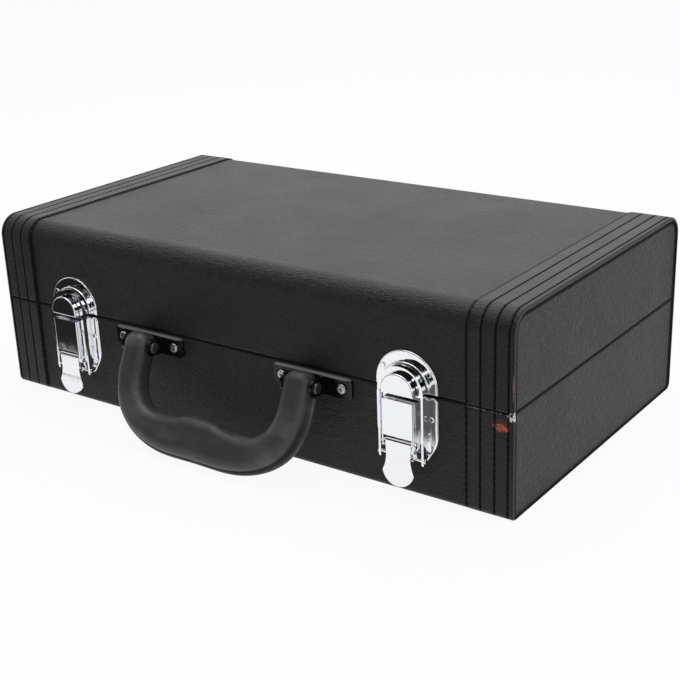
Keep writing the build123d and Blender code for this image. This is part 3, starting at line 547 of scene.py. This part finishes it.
# %% Moulded soft vinyl
grip_vinyl, tree, shader = new_material("moulded_soft_vinyl", Specular_IOR_Level=0.45)
mould = noise(tree, object_place(tree), 0.45)
rub = noise(tree, object_place(tree, scale=(0.5, 1, 1)), 16.0, detail=6.0, roughness=0.62)
worn = ramp(tree, rub, 0.44, 0.70)
tree.links.new(mix_colours(tree, worn, "#3a3a3a", "#5a5a5a"), shader.inputs["Base Color"])
tree.links.new(ramp(tree, worn, 0.0, 1.0, 0.48, 0.40, smooth=False), shader.inputs["Roughness"])
tree.links.new(bumped(tree, mould, 0.06, strength=0.6), shader.inputs["Normal"])
print("handle:", grip_vinyl.name)

# %% [markdown]
# ## Bright plating
# The latches are pressed from thin steel sheet, polished and chrome plated. Chrome is a mirror: it shows the
# white studio with the dark case in it. Pressed sheet is never quite flat, so its reflections wander a
# little, and use leaves hair-fine scratches that blur them here and there. The hinges are nickel plated,
# which is yellower and softer, and the screws have plain zinc.

# %% Chrome, nickel and plated screws
DENT_PITCH = 9.0
DRAWN_DEPTH = 0.035
HAIR_PITCH = 0.5


def plated(name, colour, roughness, dent_mm, scratch=0.08):
    """Polished plating on pressed steel; dent_mm is how far the sheet wanders from flat."""
    material, tree, shader = new_material(name, Metallic=1.0, Base_Color=linear(colour))
    dent = noise(tree, object_place(tree), DENT_PITCH, detail=1.0)
    # the walls keep the long marks of the tool that drew them up
    drawn = noise(tree, object_place(tree, (1, 1, 0.05)), 1.4)
    normal = bumped(tree, drawn, DRAWN_DEPTH, bumped(tree, dent, dent_mm))
    tree.links.new(normal, shader.inputs["Normal"])
    hair = noise(tree, object_place(tree, (1, 1, 0.06), (0, 0.6, 0)), HAIR_PITCH, detail=3.0)
    blur = ramp(tree, hair, 0.45, 0.85, roughness, roughness + scratch, smooth=False)
    tree.links.new(blur, shader.inputs["Roughness"])
    return material


chrome = plated("chrome_plated_pressed_steel", "#f1f2f5", 0.07, 0.12)
nickel = plated("nickel_plated_steel", "#c9c6be", 0.16, 0.10)
screw_plate = plated("zinc_plated_screw", "#b4b6ba", 0.22, 0.04)
print("platings:", chrome.name, nickel.name, screw_plate.name)

# %% [markdown]
# ## Black enamel
# The handle's brackets are stove-enamelled: a thin, hard, glossy black with a faint orange peel. A painted
# highlight, grey in the colour, runs along the rolled bead on a bracket's top, but not on the ears in front
# of it.

# %% Stove enamel
# where the painted highlight along the bead lies
BEAD_DEPTH = 1.1  # mm from the bracket's top down to where the black is whole
BEAD_REACH = 3.0  # mm from its back to the front of the bead

enamel, tree, shader = new_material("stove_enamel_black", Roughness=0.20, Specular_IOR_Level=0.3)
peel = noise(tree, object_place(tree), 1.6, detail=1.0)
tree.links.new(bumped(tree, peel, 0.05, strength=0.5), shader.inputs["Normal"])
bracket_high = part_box("handle_bracket_left")[1]
black_up_to = bracket_high.z - BEAD_DEPTH * MM
highlight_from = bracket_high.z - 0.4 * BEAD_DEPTH * MM
point = coordinates(tree)
# painted highlight: grey along the bead at the bracket's top, near the plate, not on the ears
on_top = ramp(tree, point["Z"], black_up_to, highlight_from)
at_plate = maths(tree, "GREATER_THAN", point["Y"], bracket_high.y - BEAD_REACH * MM)
bead = maths(tree, "MULTIPLY", on_top, at_plate)
tree.links.new(mix_colours(tree, bead, "#0c0c0c", "#8c8c8c"), shader.inputs["Base Color"])
print("enamel:", enamel.name)

# %% [markdown]
# ## Blackened steel
# The pins and washers are only oil-blackened, so they are greyer than the enamel, and a little blotchy.

# %% Oil-blackened steel
blackened, tree, shader = new_material("oil_blackened_steel", Metallic=0.7, Roughness=0.30)
stain = noise(tree, object_place(tree), 1.5, detail=4.0)
tree.links.new(mix_colours(tree, stain, "#383838", "#6c6c6c"), shader.inputs["Base Color"])
print("pins:", blackened.name)

# %% [markdown]
# ## Giving the CAD parts their finish
# A CAD part keeps its shape and only gets a material, by the start of its name. Where several starts match,
# the longest wins, so the handle is of vinyl while its brackets, pins and washers are of steel.

# %% Finish of each CAD part
FINISHES = {
    "base_shell": plywood, "lid_shell": plywood, "rim_strip": plywood,
    "base_cover": cover_vinyl, "lid_cover": cover_vinyl,
    "base_band": band_vinyl, "lid_band": band_vinyl,
    "base_end": end_vinyl, "lid_end": end_vinyl,
    "base_insert": plush, "lid_lining": plush, "lid_pad": plush,
    "hinge": nickel,
    "latch": chrome, "lever_pin": chrome, "bail_pin": chrome,
    "handle": grip_vinyl, "handle_bracket": enamel,
    "handle_pin": blackened, "handle_washers": blackened,
    "bracket_screws": screw_plate,
}
for name, node in nodes.items():
    start = max((key for key in FINISHES if name.startswith(key)), key=len)
    node.data.materials.clear()
    node.data.materials.append(FINISHES[start])
print("finished parts:", len(nodes))

# %% [markdown]
# ## Thread
# The bands are sewn with waxed black polyester. A fine noise stands for the plies that are twisted together.

# %% Waxed thread
thread, tree, shader = new_material("waxed_polyester_thread", Roughness=0.55, Specular_IOR_Level=0.25)
twist = noise(tree, object_place(tree), 0.5)
tree.links.new(mix_colours(tree, twist, "#050505", "#181818"), shader.inputs["Base Color"])
print("thread:", thread.name)

# %% [markdown]
# ## A row of stitches
# A row follows the outline of the case in the (y, z) plane, straight from the seam and round the long edge.
# One stitch is a spindle a few millimetres long. An array lays it end to end and a curve bends the row round
# the case. It stops short of the seam, so that the lid can open.

# %% Path and stitches of one row
STITCH_LENGTH = 3.1 * MM
STITCH_SIDES = 6
STITCH_RINGS = 5
SEAM_MARGIN = 0.8 * MM
BEND_STEPS = 6


def row_path(node, radius, seam_side, depth):
    """Points of a row in the (y, z) plane, from the seam at the front round the case to the seam behind."""
    low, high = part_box(node)
    half = high.y - depth
    bend = radius - depth
    if seam_side == "top":
        seam, far, into = high.z - SEAM_MARGIN, low.z + depth, 1
    else:
        seam, far, into = low.z + SEAM_MARGIN, high.z - depth, -1
    turns = [k / BEND_STEPS * math.pi / 2 for k in range(BEND_STEPS + 1)]
    points = [(-half, seam)]
    for side in (-1, 1):
        y, z = side * (half - bend), far + into * bend
        for turn in turns if side < 0 else reversed(turns):
            points.append((y + side * bend * math.cos(turn), z - into * bend * math.sin(turn)))
    points.append((half, seam))
    return points


def sew(name, x, path, thick):
    """One row of stitches along a path round the case at x."""
    data = bpy.data.curves.new(name + "_path", "CURVE")
    data.dimensions = "3D"
    spline = data.splines.new("POLY")
    spline.points.add(len(path) - 1)
    for point, (y, z) in zip(spline.points, path):
        point.co = (x, y, z, 1)
    guide = bpy.data.objects.new(name + "_path", data)
    bpy.context.scene.collection.objects.link(guide)
    bpy.ops.object.select_all(action="DESELECT")
    bpy.ops.mesh.primitive_uv_sphere_add(
        segments=STITCH_SIDES, ring_count=STITCH_RINGS, radius=0.5, rotation=(0, math.pi / 2, 0)
    )
    row = bpy.context.object
    row.name = name
    bpy.ops.object.transform_apply(location=False, rotation=True, scale=False)
    row.scale = (STITCH_LENGTH, thick, thick)
    bpy.ops.object.transform_apply(location=False, rotation=False, scale=True)
    along = row.modifiers.new("stitches", "ARRAY")
    along.fit_type = "FIT_CURVE"
    along.curve = guide
    along.use_relative_offset = False
    along.use_constant_offset = True
    along.constant_offset_displace = (STITCH_PITCH * MM, 0, 0)
    bend = row.modifiers.new("round_the_case", "CURVE")
    bend.object = guide
    for modifier in (along.name, bend.name):
        bpy.ops.object.modifier_apply(modifier=modifier)
    bpy.data.objects.remove(guide)
    row.data.materials.append(thread)
    return row


print("a stitch is", round(STITCH_LENGTH / MM, 2), "mm long")

# %% [markdown]
# ## Sewing the bands
# Four rows run round each band. The inner one lies on the cover, against the band's edge. The other three
# are pulled down into the grooves that they press into the vinyl. All rows of the base are one piece and all
# rows of the lid another, so that they part at the seam when the lid opens.

# %% All rows on the lid and the base
# mm from the band's inner edge, mm from the band's surface down to the thread's middle, and the thread's
# thickness: the row at the edge is sewn with a cord, which covers the step
ROWS = [(-0.5, 0.52, 1.02)] + [(place, 0.32, 0.56) for place in ROW_PLACES]


def sew_bands(body, radius, seam_side):
    """All rows of the base or the lid as one piece."""
    rows = []
    for side in ("left", "right"):
        low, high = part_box(f"{body}_band_{side}")
        inner, out = (low.x, 1) if side == "right" else (high.x, -1)
        for place, depth, thick in ROWS:
            path = row_path(f"{body}_band_{side}", radius, seam_side, depth * MM)
            rows.append(sew(f"{body}_row_{side}_{place}", inner + out * place * MM, path, thick * MM))
    bpy.ops.object.select_all(action="DESELECT")
    for row in rows:
        row.select_set(True)
    bpy.context.view_layer.objects.active = rows[0]
    bpy.ops.object.join()
    stitches = bpy.context.object
    stitches.name = f"{body}_stitching"
    bpy.ops.object.transform_apply()
    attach(stitches, body)
    print(stitches.name, "faces:", len(stitches.data.polygons))


sew_bands("lid", LID_ROUND * MM, "bottom")
sew_bands("base", BASE_ROUND * MM, "top")

# %% [markdown]
# ## The plush insert
# The insert is a block of foam with plush glued over it, so its edges are soft and its pockets have no sharp
# corners. A voxel remesh of the CAD solid gives an even skin, and smoothing rounds it.

# %% The plush insert
INSERT_VOXEL = 1.8
INSERT_SMOOTHING = 5
MERGE_DISTANCE = 0.01


def copy_of(node, name):
    """A merged copy of a CAD part's mesh, as a new object with the same place."""
    piece = bpy.data.objects.new(name, nodes[node].data.copy())
    bpy.context.scene.collection.objects.link(piece)
    bpy.ops.object.select_all(action="DESELECT")
    piece.select_set(True)
    bpy.context.view_layer.objects.active = piece
    bpy.ops.object.mode_set(mode="EDIT")
    bpy.ops.mesh.select_all(action="SELECT")
    bpy.ops.mesh.remove_doubles(threshold=MERGE_DISTANCE * MM)
    bpy.ops.object.mode_set(mode="OBJECT")
    return piece


def remesh(piece, voxel_mm, smoothing):
    """An even skin of small faces, smoothed."""
    skin = piece.modifiers.new("skin", "REMESH")
    skin.mode = "VOXEL"
    skin.voxel_size = voxel_mm * MM
    bpy.ops.object.modifier_apply(modifier=skin.name)
    soften = piece.modifiers.new("soften", "SMOOTH")
    soften.factor = 0.5
    soften.iterations = smoothing
    bpy.ops.object.modifier_apply(modifier=soften.name)
    bpy.ops.object.shade_smooth()


insert = copy_of("base_insert", "plush_insert")
remesh(insert, INSERT_VOXEL, INSERT_SMOOTHING)
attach(insert, "base")
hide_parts("base_insert")
print("insert faces:", len(insert.data.polygons))

# %% [markdown]
# ## The lid's pad
# The pad is a cushion. It starts as a slightly smaller copy of the CAD pad, hung from its upper face and
# remeshed like the insert but more coarsely.

# %% A smaller copy of the pad
PAD_SHRINK = (0.985, 0.975, 0.9)
PAD_VOXEL = 4.5
PAD_SMOOTHING = 2

pad = copy_of("lid_pad", "plush_pad")
pad_low, pad_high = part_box("lid_pad")
bpy.ops.transform.resize(value=PAD_SHRINK, center_override=(0, 0, pad_high.z))
bpy.ops.object.transform_apply()
remesh(pad, PAD_VOXEL, PAD_SMOOTHING)
print("pad vertices:", len(pad.data.vertices))

# %% [markdown]
# Then a short cloth simulation blows it up with air, while its upper layer is held against the lid. No point
# keeps more than a small move, because real stuffing holds the cover back.

# %% Blowing up the pad
PAD_PRESSURE = 4.0
PAD_FRAMES = 20
PAD_HELD = 1.2 * MM  # depth of the layer that is held
PAD_SWELL = 5.0 * MM  # how far a point may move

before = [v.co.copy() for v in pad.data.vertices]
held = pad.vertex_groups.new(name="held")
upper = [v.index for v in pad.data.vertices if v.co.z > pad_high.z - PAD_HELD]
held.add(upper, 1.0, "REPLACE")
cloth = pad.modifiers.new("cloth", "CLOTH")
cloth.settings.use_pressure = True
cloth.settings.uniform_pressure_force = PAD_PRESSURE
cloth.settings.effector_weights.gravity = 0.0
cloth.settings.vertex_group_mass = held.name
bpy.context.scene.frame_start = 1
bpy.context.scene.frame_end = PAD_FRAMES
cloth.point_cache.frame_start = 1
cloth.point_cache.frame_end = PAD_FRAMES
for moment in range(1, PAD_FRAMES + 1):
    bpy.context.scene.frame_set(moment)
bpy.ops.object.modifier_apply(modifier=cloth.name)
for vertex, start in zip(pad.data.vertices, before):
    moved = vertex.co - start
    if moved.length > PAD_SWELL:
        vertex.co = start + moved * (PAD_SWELL / moved.length)
bpy.context.scene.frame_set(1)
print("pad blown up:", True)

# %% [markdown]
# At the end no point may lie outside the space that the CAD pad holds, and the coarse skin is made finer.

# %% The pad's last shape
for vertex in pad.data.vertices:
    for axis in range(3):
        vertex.co[axis] = min(max(vertex.co[axis], pad_low[axis]), pad_high[axis])
finer = pad.modifiers.new("finer", "SUBSURF")
finer.levels = 1
finer.render_levels = 1
bpy.ops.object.modifier_apply(modifier=finer.name)
bpy.ops.object.shade_smooth()
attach(pad, "lid")
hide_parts("lid_pad")
print("pad faces:", len(pad.data.polygons))
